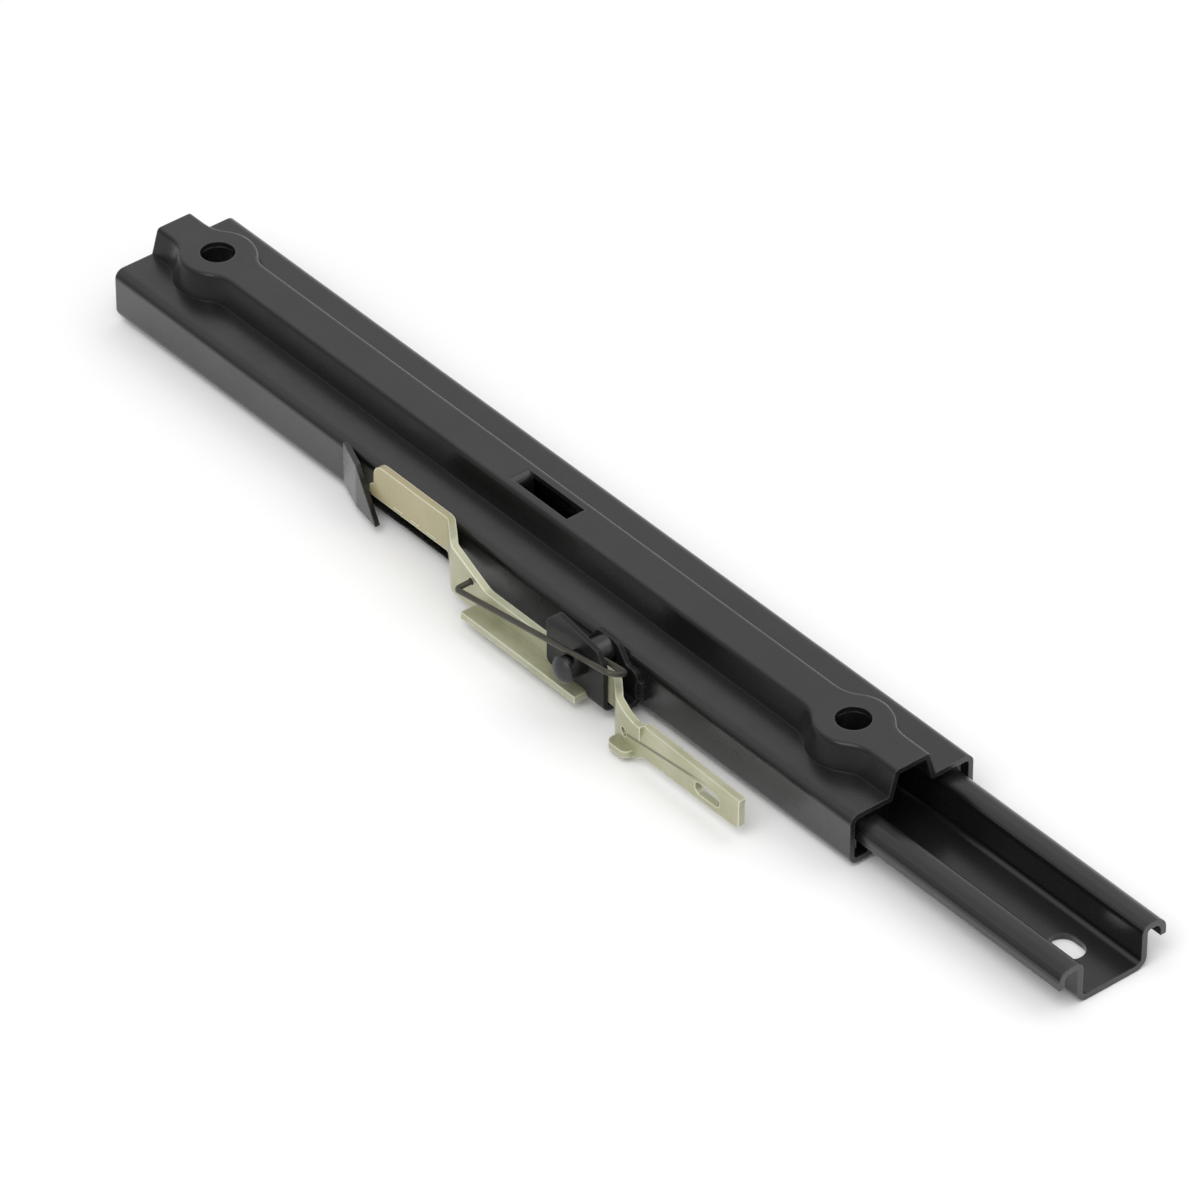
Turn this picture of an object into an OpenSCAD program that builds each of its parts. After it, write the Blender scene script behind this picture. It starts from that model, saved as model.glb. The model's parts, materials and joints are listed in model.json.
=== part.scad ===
// Seat slide rail: a lower rail for the floor, an upper rail for the seat that rolls on it,
// and a sprung release lever whose teeth lock the two together.
// X runs along the rails towards the front, Z is up, the latch is on the -Y side.
// The origin is midway between the two floor slots, on the underside of the lower rail.

/* [Rails] */
// Length of the upper rail
upper_length = 348; // [320:1:380]
// Length of the lower rail
lower_length = 348; // [330:1:380]
// How far the lower rail sticks out at the front, at rest
front_overhang = 86; // [70:1:100]
// Travel of the upper rail from rest to its front stop
travel = 160; // [136:8:168]

/* [Upper rail section] */
// Overall width of the upper rail
upper_width = 47; // [46.8:0.1:50]
// Height of the upper rail's flats above the floor
flat_height = 19; // [18.8:0.1:22]
// Sheet thickness of the upper rail
upper_sheet = 1.8; // [1.4:0.1:1.9]
// Height of the upper rail's lower edge above the floor
hem_height = 1.25; // [0.8:0.05:1.6]
// Height of the hooked edge, above the upper rail's lower edge
hook_height = 8; // [5:0.5:9]
// Outer radius of the upper rail's folds
upper_fold = 3; // [2.2:0.1:3.4]

/* [Rib and seat holes] */
// Rise of the rib above the flats
rib_rise = 8.6; // [6:0.1:11]
// Width of the rib's top
rib_width = 13; // [10:0.5:16]
// How far each side of the rib spreads on the way down
rib_spread = 2.5; // [1.5:0.1:3.5]
// Radius along the rib's top edges
rib_round = 1.4; // [0.8:0.1:2]
// Distance between the seat holes
seat_hole_pitch = 300; // [270:1:310]
// Distance of the rear seat hole from the upper rail's rear end
seat_hole_setback = 22; // [20:0.5:28]
// Diameter of the seat holes
seat_hole = 11; // [8:0.5:13]
// Diameter of the round boss about each seat hole
boss_width = 24; // [20:0.5:27]
// Radius of the blend from the boss to the rib
boss_blend = 12; // [8:0.5:16]

/* [Lower rail section] */
// Overall width of the lower rail
lower_width = 40.6; // [39:0.1:41]
// Inside width of the lower rail's channel
channel_width = 22.5; // [20:0.1:23]
// Depth from the upper rail's flats to the lower rail's flanges
track_depth = 4; // [3.6:0.1:4.4]
// Sheet thickness of the lower rail
lower_sheet = 2; // [1.6:0.1:2.2]
// Depth of the turned-down lips
lip_depth = 6.4; // [5.5:0.1:7]
// Outer radius of the fold between flange and lip
lip_fold = 4; // [3.6:0.1:4.4]
// Distance between the floor slots
floor_slot_pitch = 310; // [280:1:320]
// Width of the floor slots
floor_slot_width = 9; // [7:0.5:10]
// Length of the floor slots
floor_slot_length = 12; // [10.5:0.5:16]

/* [Ball cages] */
// Diameter of the balls
ball_size = 3.2; // [2.8:0.1:3.3]
// Balls in each cage
balls_per_cage = 4; // [2:1:6]
// Length of each cage
cage_length = 46; // [36:1:50]
// Running gap between the cages and the rails
cage_gap = 0.3; // [0.2:0.05:0.4]

/* [Lock] */
// Distance between the lock notches
notch_pitch = 8; // [7:0.5:10]
// Width of a lock notch
notch_width = 5; // [4.5:0.1:5.5]
// Teeth on the lever
teeth = 3; // [2:1:3]
// Width of a tooth
tooth_width = 4; // [3:0.1:4.2]
// Distance from the rear cages to the first tooth, at rest
tooth_margin = 7.5; // [5:0.5:12]

/* [Lever] */
// Sheet thickness of the lever
lever_sheet = 2.4; // [2:0.1:2.6]
// Diameter of the pivot pin
pin_size = 5; // [4.5:0.5:6]
// Depth of the lever's arm below the upper rail's flats
arm_depth = 4.2; // [3.5:0.1:5]
// Height of the pivot above the lever's arm
pivot_rise = 2.4; // [2:0.1:3]
// Distance from the row's middle tooth to the pivot
lever_arm = 88.5; // [84:0.5:92]
// Length of the lever's front arm
tang_reach = 77; // [68:1:90]
// How far the lever's web stands out from the upper rail's wall
web_offset = 9.8; // [9:0.1:11]
// Diameter of the spring wire
wire_size = 1.8; // [1.4:0.1:2]

/* [Hidden] */
$fn = 48;
// Excess of a cutting solid past the face that it cuts
over = 1;
// Straight steps in each sheet-metal fold
fold_steps = 6;
// Radial clearance of the pin in its bores
pin_gap = 0.05;

// Ends of the rails along X
lower_front = lower_length / 2;
lower_rear = -lower_front;
upper_front = lower_front - front_overhang;
upper_rear = upper_front - upper_length;

// Upper rail: inside faces and heights
wall_y = upper_width / 2;
wall_in_y = wall_y - upper_sheet;
flat_under = flat_height - upper_sheet;
rib_top = flat_height + rib_rise;
hem_top = hem_height + upper_sheet;
hook_gap = 0.75;
seat_holes = [upper_rear + seat_hole_setback, upper_rear + seat_hole_setback + seat_hole_pitch];

// Lower rail: faces and heights
flange_height = flat_height - track_depth;
channel_y = channel_width / 2;
channel_out_y = channel_y + lower_sheet;
lip_y = lower_width / 2;
lip_in_y = lip_y - lower_sheet;
lip_bottom = flange_height - lip_depth;
lip_fold_y = lip_y - lip_fold;
lip_fold_z = flange_height - lip_fold;
hook_y = channel_out_y + hook_gap;
floor_fold = 2;

// Travel stops: a tab lanced down from the rib meets tabs lanced up from the channel's floor
stop_width = 7;
stop_slot_length = 24;
stop_place = 172;
stop_slot_x = upper_rear + stop_place;
stop_tab_bottom = 5.5;
stop_rise = 8;
stop_gap = 0.2;
stop_bend = 3;

// Ball cages: the middle of the overlap of both rails, and the cages' places from it
overlap_x = (lower_rear + upper_front) / 2;
overlap_half = (upper_front - lower_rear) / 2;
cage_margin = 3;
cage_foot = 3;
ball_gap = 0.12;
ball_y = wall_in_y - ball_size / 2 - ball_gap;
ball_z = flat_under - ball_size / 2 - ball_gap;

// Lock: the teeth stand released just under the lip, and rise into its notches when the lever swings up
row_half = (teeth - 1) / 2 * notch_pitch;
tooth_x = cage_x(-1) + cage_length + tooth_margin + row_half + tooth_width / 2;
tooth_sheet = 2.2;
tooth_gap = 0.35;
tooth_top = lip_bottom - tooth_gap;
tooth_reach = lip_in_y - 0.1;
notch_depth = 3.2;
window_x = [tooth_x - row_half - tooth_width / 2 - 2, tooth_x + row_half + tooth_width / 2 + 4];
window_z = [hem_top + 0.4, tooth_top + 6.6];
louver_start = window_x[0] - 26.5;
louver_cut = louver_start + 5.5;
louver_crest = window_x[0] - 15;
louver_end = window_x[0] - 3;
louver_slant = 12;
crest_stand = 4.4;
louver_stand = 6.5;
louver_round = 10;
louver_z = [hem_top, flat_height - 0.6];

// Bracket: a folded sheet with one ear on the rail's wall and a taller one outside the lever
pivot_x = tooth_x + lever_arm;
arm_height = flat_height - arm_depth;
pivot_height = arm_height + pivot_rise;
bracket_sheet = 1.8;
bracket_fold = 3;
bracket_back = 22;
bracket_front = 14;
base_x = [pivot_x + 3, pivot_x + 10.5];
ear_gap = 0.3;
web_y = -(wall_y + web_offset);
bracket_out_y = web_y - ear_gap - bracket_sheet;
bracket_in_y = -wall_y - bracket_sheet;
bracket_bottom = arm_height - 10.8;
bracket_peak = pivot_height + 11.4;
side_gap = 0.1;
sleeve_length = 6.6;
sleeve_size = pin_size + 2.8;
head_y = bracket_out_y - sleeve_length;

// Lever: faces of its far plate, web and tang, and the heights along it
plate_gap = 0.5;
plate_y = -(wall_y + plate_gap + lever_sheet);
tang_y = web_y - 6.6;
tang_x = pivot_x + tang_reach;
tongue_x = louver_end - 7;
plate_bottom = tooth_top + 1.95;
tongue_top = plate_bottom + 3.8;
plate_top = flat_height + 3.6;
web_top = arm_height - 1.2;
web_bottom = arm_height - 7.6;
eye_top = pivot_height + pin_size / 2 + 1.5;
shoulder_top = arm_height + 3;
shoulder_bottom = arm_height - 12.8;
tang_top = arm_height - 0.2;
tang_bottom = arm_height - 10.4;
tang_length = 47;
crease_x = tang_x - 44.5;
crease_z = arm_height - 5.7;
crease_climb = 5.3;
crease_lean = 15;
toe_width = 3;
toe_x = [tang_x - 56.5, tang_x - 47.5];
flange_bottom = arm_height - 10.8;
flange_width = 5.6;
flange_x = [window_x[1] + 23, base_x[0] - 1.5];
handle_slot = [11, 4.2];
handle_slot_at = [14, arm_height - 6.2];
handle_hole = 3;
handle_hole_at = [52, arm_height - 6.4];

// Spring: a finger through the web, a leg over the sleeve, a loop before the bracket, an end behind the ear
wire_r = wire_size / 2;
wire_gap = 0.3;
wire_bend = 1.5;
loop_bend = 3;
leg_y = web_y - 5.7;
finger_x = pivot_x - 53.5;
finger_z = arm_height - 1;
finger_end_y = web_y + lever_sheet + 1.2;
leg_top = pivot_height + sleeve_size / 2 + wire_gap + wire_r;
leg_climb = (leg_top - finger_z) / (pivot_x - finger_x);
loop_x = pivot_x + 19;
loop_lean = 1;
loop_drop = 3.2;
tail_y = bracket_out_y + bracket_sheet + wire_gap + wire_r;
tail_length = 12.5;
tail_drop = 1.6;

// Geometry helpers
function unit(v) = v / norm(v);
// Point list of an arc about c
function arc(c, r, a0, a1, n) =
    [for (i = [0:n]) let (a = a0 + (a1 - a0) * i / n) c + r * [cos(a), sin(a)]];
// Corner q of the path p-q-s turned into an arc of radius r, in a plane or in space
function corner(p, q, s, r, n) =
    let (u = unit(p - q), v = unit(s - q), half = acos(u * v) / 2, c = q + unit(u + v) * r / sin(half),
         a = q + u * r / tan(half) - c, b = q + v * r / tan(half) - c, turn = 180 - 2 * half)
    [for (i = [0:n]) c + (a * sin(turn * (n - i) / n) + b * sin(turn * i / n)) / sin(turn)];
// Open path with its inner corners rounded by the radii in r, 0 for a sharp one
function rounded_path(p, r, n) =
    [for (i = [0:len(p) - 1])
        each r[i] == 0 ? [p[i]] : corner(p[i - 1], p[i], p[i + 1], r[i], n)];
// Closed outline with its corners rounded
function rounded_loop(p, r, n) =
    [for (i = [0:len(p) - 1])
        each r[i] == 0 ? [p[i]]
                       : corner(p[(i + len(p) - 1) % len(p)], p[i], p[(i + 1) % len(p)], r[i], n)];
// Path moved sideways by d, to its right
function beside(p, d) =
    [for (i = [0:len(p) - 1])
        let (t0 = unit(i == 0 ? p[1] - p[0] : p[i] - p[i - 1]),
             t1 = unit(i == len(p) - 1 ? p[i] - p[i - 1] : p[i + 1] - p[i]),
             n0 = [t0.y, -t0.x], m = unit(n0 + [t1.y, -t1.x]))
        p[i] + m * d / (m * n0)];
function all_but_last(p) = [for (i = [0:len(p) - 2]) p[i]];
function reversed(p) = [for (i = [len(p) - 1:-1:0]) p[i]];
// Outline of a folded sheet whose one face follows the path p
function sheet(p, d) = concat(p, reversed(beside(p, d)));

// Profile in Y and Z carried along X
module along_x(x0, x1) {
    translate([x0, 0, 0]) rotate([90, 0, 90]) linear_extrude(x1 - x0) children();
}

// Outline in X and Z carried along Y
module along_y(y0, y1) {
    translate([0, y1, 0]) rotate([90, 0, 0]) linear_extrude(y1 - y0) children();
}

module block(x, y, z) {
    translate([x[0], y[0], z[0]]) cube([x[1] - x[0], y[1] - y[0], z[1] - z[0]]);
}

// Solid with rings of points joined band by band; each end is closed in strips between its ring's halves
module loft(rings) {
    n = len(rings[0]);
    final = (len(rings) - 1) * n;
    sides = [for (b = [0:n:final - n], i = [0:n - 1]) let (j = (i + 1) % n)
             each [[b + i, b + n + j, b + j], [b + i, b + n + i, b + n + j]]];
    ends = [for (i = [0:n / 2 - 2]) let (j = n - 1 - i)
            each [[i, i + 1, j - 1, j], [final + j, final + j - 1, final + i + 1, final + i]]];
    polyhedron(points = [for (r = rings) each r], faces = concat(sides, ends), convexity = 8);
}

// Oblong hole along X
module slot(x, y, length, width, z0, z1) {
    reach = (length - width) / 2;
    for (end = [-1, 1]) translate([x + end * reach, y, z0]) cylinder(d = width, h = z1 - z0);
    block([x - reach, x + reach], [y - width / 2, y + width / 2], [z0, z1]);
}

// One long edge of the rib in plan, from rear to front, moved out by s: straight, swelling round each boss
function boss_edge(x, s) =
    let (w = rib_width / 2, r = boss_width / 2, far = sqrt(pow(r + boss_blend, 2) - pow(w + boss_blend, 2)),
         a = atan2(w + boss_blend, far))
    concat(all_but_last(arc([x - far, w + boss_blend], boss_blend - s, 270, 360 - a, 5)),
           all_but_last(arc([x, 0], r + s, 180 - a, a, 14)),
           arc([x + far, w + boss_blend], boss_blend - s, 180 + a, 270, 5));
function rib_edge(s) =
    concat([[upper_rear, rib_width / 2 + s]], boss_edge(seat_holes[0], s), boss_edge(seat_holes[1], s),
           [[upper_front, rib_width / 2 + s]]);
function rib_ring(s, z) =
    let (e = rib_edge(s))
    concat([for (p = e) [p.x, -p.y, z]], [for (p = reversed(e)) [p.x, p.y, z]]);

// Angle of the rib's sides from upright, and the sheet measured level across them
rib_lean = atan(rib_spread / rib_rise);
rib_level = upper_sheet / cos(rib_lean);
function rib_side(z) = (rib_top - z) * tan(rib_lean);

module rib_outside() {
    tangent = rib_round * tan((90 - rib_lean) / 2);
    loft(concat([rib_ring(rib_side(flat_under + upper_sheet / 2), flat_under + upper_sheet / 2)],
                [for (i = [0:3]) let (a = rib_lean + (90 - rib_lean) * i / 3)
                 rib_ring(-tangent + rib_round * cos(a), rib_top - rib_round + rib_round * sin(a))]));
}

module rib_inside() {
    low = flat_under - over;
    high = rib_top - upper_sheet;
    loft([rib_ring(rib_side(low) - rib_level, low), rib_ring(rib_side(high) - rib_level, high)]);
}

module upper_section() {
    path = [[-hook_y, hem_height + hook_height], [-hook_y, hem_height], [-wall_y, hem_height],
            [-wall_y, flat_height], [wall_y, flat_height], [wall_y, hem_height], [hook_y, hem_height],
            [hook_y, hem_height + hook_height]];
    f = upper_fold;
    polygon(sheet(rounded_path(path, [0, f, f, f, f, f, f, 0], fold_steps), upper_sheet));
}

// Bulge pressed out of the latch-side wall that guides the lever's tongue; its open front end is cut aslant
module louver() {
    path = [[louver_start, -wall_y], [louver_crest, -wall_y - crest_stand],
            [louver_end, -wall_y - louver_stand]];
    intersection() {
        translate([0, 0, louver_z[0]]) linear_extrude(louver_z[1] - louver_z[0])
            polygon(sheet(rounded_path(path, [0, louver_round, 0], fold_steps), -upper_sheet));
        along_y(-wall_y - louver_stand - over, -wall_in_y + over)
            polygon([[louver_start - over, louver_z[0]], [louver_end, louver_z[0]],
                     [louver_end - louver_slant, louver_z[1]], [louver_start - over, louver_z[1]]]);
    }
}

// Room over the bend at the top of the stop tab
module stop_round() {
    low = rib_top - stop_bend;
    bend_x = stop_slot_x - stop_bend;
    along_y(-stop_width / 2, stop_width / 2)
        polygon(concat([[stop_slot_x + over, low], [stop_slot_x + over, rib_top + over],
                        [bend_x, rib_top + over]],
                       reversed(arc([bend_x, low], stop_bend, 0, 90, fold_steps))));
}

module upper_rail() {
    corner_cut = 4;
    color("#464646") difference() {
        union() {
            along_x(upper_rear, upper_front) upper_section();
            rib_outside();
        }
        rib_inside();
        for (x = seat_holes)
            translate([x, 0, flat_under]) cylinder(d = seat_hole, h = rib_rise + upper_sheet + over);
        block([stop_slot_x, stop_slot_x + stop_slot_length], [-stop_width / 2, stop_width / 2],
              [rib_top - upper_sheet - over, rib_top + over]);
        stop_round();
        block(window_x, [-wall_y - over, -wall_in_y + over], window_z);
        block([louver_cut, window_x[0] + over], [-wall_y - over, -wall_in_y + over],
              [louver_z[0], flat_height - upper_fold]);
        for (side = [-1, 1]) translate([upper_rear, side * wall_y, hem_height]) rotate([0, 45, 0])
            cube([corner_cut, upper_fold, corner_cut], center = true);
    }
    color("#464646") {
        louver();
        difference() {
            block([stop_slot_x - upper_sheet, stop_slot_x], [-stop_width / 2, stop_width / 2],
                  [stop_tab_bottom, rib_top - upper_sheet / 2]);
            stop_round();
        }
    }
}

module lower_section() {
    path = [[-lip_y, lip_bottom], [-lip_y, flange_height], [-channel_y, flange_height],
            [-channel_y, lower_sheet], [channel_y, lower_sheet], [channel_y, flange_height],
            [lip_y, flange_height], [lip_y, lip_bottom]];
    mouth = lower_sheet + 1;
    folds = [0, lip_fold, mouth, floor_fold, floor_fold, mouth, lip_fold, 0];
    polygon(sheet(rounded_path(path, folds, fold_steps), lower_sheet));
}

// Tab lanced up from the channel's floor, standing over x, with the hole that it leaves on the side dir
module floor_stop(x, dir) {
    difference() {
        children();
        block(dir > 0 ? [x, x + stop_rise] : [x - stop_rise, x], [-stop_width / 2, stop_width / 2],
              [-over, lower_sheet + over]);
    }
    block(dir > 0 ? [x - lower_sheet, x] : [x, x + lower_sheet], [-stop_width / 2, stop_width / 2],
          [0, lower_sheet + stop_rise]);
}

module lower_rail() {
    rear_stop = stop_slot_x - upper_sheet - stop_gap;
    front_stop = stop_slot_x + travel + stop_gap;
    notches = floor((travel + 2 * row_half) / notch_pitch + 0.01);
    color("#3c3c3c") floor_stop(front_stop, -1) floor_stop(rear_stop, 1) difference() {
        along_x(lower_rear, lower_front) lower_section();
        for (end = [-1, 1])
            slot(end * floor_slot_pitch / 2, 0, floor_slot_length, floor_slot_width,
                 -over, lower_sheet + over);
        for (k = [0:notches]) let (x = tooth_x - row_half + k * notch_pitch)
            block([x - notch_width / 2, x + notch_width / 2], [-lip_y - over, -lip_fold_y],
                  [lip_bottom - over, lip_bottom + notch_depth]);
    }
}

// Place of a cage's rear end: end is 1 at the front and -1 at the rear
function cage_x(end) = overlap_x + end * (overlap_half - cage_margin - cage_length / 2) - cage_length / 2;

// Moulded strip that lies over the flange, down the lip's side and under its edge, on the +Y side
module cage_section() {
    out_y = wall_in_y - cage_gap;
    top = flat_under - cage_gap;
    bottom = hem_top + cage_gap;
    bevel = upper_fold - upper_sheet;
    polygon(concat([[channel_out_y, top], [out_y - bevel, top], [out_y, top - bevel],
                    [out_y, bottom + bevel], [out_y - bevel, bottom], [out_y - cage_foot, bottom],
                    [out_y - cage_foot, lip_bottom - cage_gap], [lip_y + cage_gap, lip_bottom - cage_gap]],
                   arc([lip_fold_y, lip_fold_z], lip_fold + cage_gap, 0, 90, 2 * fold_steps),
                   [[channel_out_y, flange_height + cage_gap]]));
}

module at_balls(end, side) {
    pitch = cage_length / balls_per_cage;
    for (k = [0:balls_per_cage - 1])
        translate([cage_x(end) + (k + 0.5) * pitch, side * ball_y, ball_z]) children();
}

module ball_cage(end, side) {
    color("#d8d6cc") difference() {
        mirror([0, side < 0 ? 1 : 0, 0]) along_x(cage_x(end), cage_x(end) + cage_length) cage_section();
        at_balls(end, side) rotate([-side * 45, 0, 0])
            cylinder(d = ball_size + 2 * ball_gap, h = 3 * ball_size, center = true);
    }
}

module balls(end, side) {
    color("#b9bcc0") at_balls(end, side) sphere(d = ball_size);
}

// Ear on the rail's wall: a low plate that rises about the pin
module wall_ear() {
    back = pivot_x - bracket_back;
    front = pivot_x + bracket_front;
    top = pivot_height + pin_size / 2 + 2;
    low = arm_height + 1;
    corners = [[back, bracket_bottom - over], [front, bracket_bottom - over], [front, low],
               [pivot_x + 9, low], [pivot_x + 4.5, top], [pivot_x - 4.5, top], [pivot_x - 9, low],
               [back, low]];
    polygon(rounded_loop(corners, [0, 0, 3, 2, 3, 3, 2, 4], fold_steps));
}

// Outer ear: stands on the base at the front, clear of the lever's flange behind, its top sloping forward
module outer_ear() {
    back = pivot_x - 15.5;
    bottom = flange_bottom + lever_sheet + 1.6;
    corners = [[base_x[0], bracket_bottom - over], [base_x[1], bracket_bottom - over],
               [base_x[1], pivot_height + 3.5], [pivot_x + 7.5, pivot_height + 8],
               [pivot_x - 10.7, bracket_peak], [back, pivot_height + 6.3], [back, bottom],
               [base_x[0], bottom]];
    polygon(rounded_loop(corners, [0, 0, 3, 2, 3, 3, 2, 2], fold_steps));
}

module pivot_bracket() {
    outside = bracket_out_y - over;
    between = web_y + lever_sheet + 1.4;
    path = [[bracket_out_y, bracket_peak], [bracket_out_y, bracket_bottom], [-wall_y, bracket_bottom],
            [-wall_y, bracket_peak]];
    folds = [0, bracket_fold, bracket_fold, 0];
    color("#2a2a2a") difference() {
        intersection() {
            along_x(pivot_x - bracket_back, pivot_x + bracket_front)
                polygon(sheet(rounded_path(path, folds, fold_steps), -bracket_sheet));
            union() {
                along_y(outside, between) outer_ear();
                along_y(between, -wall_y + over) wall_ear();
            }
        }
        pin_bore(outside, -wall_y + over);
    }
}

// Round bar on the pivot's axis
module on_pivot(y0, y1, d) {
    translate([pivot_x, y1, pivot_height]) rotate([90, 0, 0]) cylinder(d = d, h = y1 - y0);
}

module pin_bore(y0, y1) {
    on_pivot(y0, y1, pin_size + 2 * pin_gap);
}

module pivot_pin() {
    head = pin_size + 4;
    rise = 2.4;
    dome = (head * head / 4 + rise * rise) / (2 * rise);
    rim = asin((dome - rise) / dome);
    color("#303030") {
        on_pivot(head_y, -wall_y - side_gap, pin_size);
        translate([pivot_x, head_y, pivot_height]) rotate([90, 0, 0]) rotate_extrude()
            polygon(concat([[0, 0]], arc([0, rise - dome], dome, rim, 90, 2 * fold_steps)));
    }
}

module spacer(y0, y1, d) {
    difference() {
        on_pivot(y0 + side_gap, y1 - side_gap, d);
        pin_bore(y0, y1);
    }
}

module pivot_bush() {
    color("#8c8c88") spacer(web_y + lever_sheet, bracket_in_y, pin_size + 4);
}

module spring_sleeve() {
    color("#8c8c88") spacer(head_y, bracket_out_y, sleeve_size);
}

// Side view of the lever
module lever_outline() {
    front = pivot_x + bracket_front;
    jog = window_x[1] + 10;
    tang_start = tang_x - tang_length;
    upper = [[tongue_x, plate_bottom], [tongue_x, tongue_top], [tongue_x + 2, tongue_top + 1],
             [tongue_x + 2, plate_top], [jog, plate_top], [jog + 18, web_top], [pivot_x - 9, web_top],
             [pivot_x - 4, eye_top], [pivot_x + 3.5, eye_top], [pivot_x + 7, shoulder_top],
             [front + 5, shoulder_top], [tang_start, tang_top - 0.2], [tang_x, tang_top]];
    lower = [[tang_x, tang_bottom], [tang_start + 4, tang_bottom], [tang_start + 1, shoulder_bottom],
             [front + 5, shoulder_bottom], [front, web_bottom], [flange_x[1], web_bottom],
             [flange_x[1], flange_bottom], [jog + 7, flange_bottom], [jog - 1, flange_bottom + 1.4],
             [window_x[1] + 4, plate_bottom]];
    radii = [1, 1, 0, 4, 4, 6, 0, 2, 3, 2, 3, 4, 1.5, 1.5, 2, 1.5, 2, 2, 0, 0, 3, 2, 2];
    polygon(rounded_loop(concat(upper, lower), radii, 4));
}

// Plan of the lever's strip: plate beside the wall, jog, web through the bracket, jog, tang
function lever_plan() =
    let (jog = window_x[1] + 1.5, front = pivot_x + bracket_front - 1)
    rounded_path([[tongue_x - over, plate_y], [jog, plate_y], [jog + 10, web_y], [front, web_y],
                  [front + 7, tang_y + 1.3], [front + 13, tang_y], [tang_x + over, tang_y]],
                 [0, 4, 4, 3, 5, 8, 0], 4);

// Side view of a tooth: bent in and down from the plate's lower edge, then level under the lip
module tooth_section() {
    root = [plate_y + lever_sheet / 2, plate_bottom + 3];
    path = [root, [-lip_y - 0.4, tooth_top], [-tooth_reach, tooth_top]];
    polygon(sheet(rounded_path(path, [0, 1, 0], fold_steps), tooth_sheet));
}

// Everything above the crease along the tang
module above_crease(y0, y1) {
    rise = (tang_x + over - crease_x) * tan(crease_climb);
    along_y(y0, y1)
        polygon([[crease_x, crease_z], [tang_x + over, crease_z + rise], [tang_x + over, tang_top + over],
                 [crease_x, tang_top + over]]);
}

// Top of the tang, bent back towards the rail at the crease
module tang_lean() {
    intersection() {
        translate([crease_x, tang_y, crease_z]) rotate([0, -crease_climb, 0]) rotate([-crease_lean, 0, 0])
            cube([tang_length, lever_sheet, 2 * (tang_top - crease_z)]);
        block([crease_x, tang_x], [tang_y, -wall_y], [0, tang_top]);
    }
}

module release_lever() {
    color("#c8be8c") difference() {
        union() {
            difference() {
                intersection() {
                    translate([0, 0, -over]) linear_extrude(plate_top + 2 * over)
                        polygon(sheet(lever_plan(), -lever_sheet));
                    along_y(tang_y - over, -wall_y) lever_outline();
                }
                above_crease(tang_y - over, -wall_y);
            }
            tang_lean();
            for (k = [0:teeth - 1]) let (x = tooth_x - row_half + k * notch_pitch)
                along_x(x - tooth_width / 2, x + tooth_width / 2) tooth_section();
            // Flange turned out along the web's lower edge
            block(flange_x, [web_y - flange_width, web_y + lever_sheet / 2],
                  [flange_bottom, flange_bottom + lever_sheet]);
            // Toe turned out under the shoulder
            translate([0, 0, shoulder_bottom]) linear_extrude(lever_sheet)
                polygon(rounded_loop([[toe_x[0], tang_y + lever_sheet], [toe_x[0], tang_y - toe_width],
                                      [toe_x[1], tang_y - toe_width], [toe_x[1], tang_y + lever_sheet]],
                                     [0, 2.5, 2.5, 0], fold_steps));
        }
        pin_bore(web_y - over, web_y + lever_sheet + over);
        // Hole for the spring's finger
        translate([finger_x, web_y - over, finger_z]) rotate([-90, 0, 0])
            cylinder(d = wire_size + 2 * wire_gap, h = lever_sheet + 2 * over, $fn = 24);
        // Slot and hole in the tang, for the handle
        translate([0, tang_y - over, 0]) rotate([-90, 0, 0])
            slot(tang_x - handle_slot_at.x, -handle_slot_at.y, handle_slot.x, handle_slot.y,
                 0, lever_sheet + 2 * over);
        translate([tang_x - handle_hole_at.x, tang_y - 3 * over, handle_hole_at.y]) rotate([-90, 0, 0])
            cylinder(d = handle_hole, h = lever_sheet + 6 * over);
    }
}

// The leg climbs in one straight line over the sleeve; the loop turns back, down and in towards the bracket
function wire_route() =
    let (loop_z = finger_z + leg_climb * (loop_x - finger_x), tail_z = loop_z - loop_drop)
    rounded_path([[finger_x, finger_end_y, finger_z], [finger_x, leg_y, finger_z],
                  [loop_x, leg_y, loop_z], [loop_x - loop_lean, tail_y, tail_z],
                  [loop_x - tail_length, tail_y, tail_z - tail_drop]],
                 [0, wire_bend, loop_bend, loop_bend, 0], 8);

// Round bar swept along a route, its rings kept from turning about it
module wire(route, r, sides) {
    last = len(route) - 1;
    tangent = [for (i = [0:last]) unit(route[min(i + 1, last)] - route[max(i - 1, 0)])];
    across = [for (i = 0, n = [0, 0, 1]; i <= last;
                   i = i + 1, n = unit(n - (n * tangent[min(i, last)]) * tangent[min(i, last)])) n];
    loft([for (i = [0:last]) let (n = across[i], m = cross(tangent[i], n))
          [for (k = [0:sides - 1]) route[i] + r * (n * cos(360 * k / sides) + m * sin(360 * k / sides))]]);
}

module return_spring() {
    color("#26262a") wire(wire_route(), wire_r, 10);
}

lower_rail();
upper_rail();
ball_cage(1, 1);  // ball_cage_front_right
ball_cage(1, -1);  // ball_cage_front_left
ball_cage(-1, 1);  // ball_cage_rear_right
ball_cage(-1, -1);  // ball_cage_rear_left
balls(1, 1);  // balls_front_right
balls(1, -1);  // balls_front_left
balls(-1, 1);  // balls_rear_right
balls(-1, -1);  // balls_rear_left
pivot_bracket();
pivot_pin();
pivot_bush();
spring_sleeve();
release_lever();
return_spring();
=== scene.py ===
"""Seat slide rail: paint, plating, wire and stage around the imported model."""
import json

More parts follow.
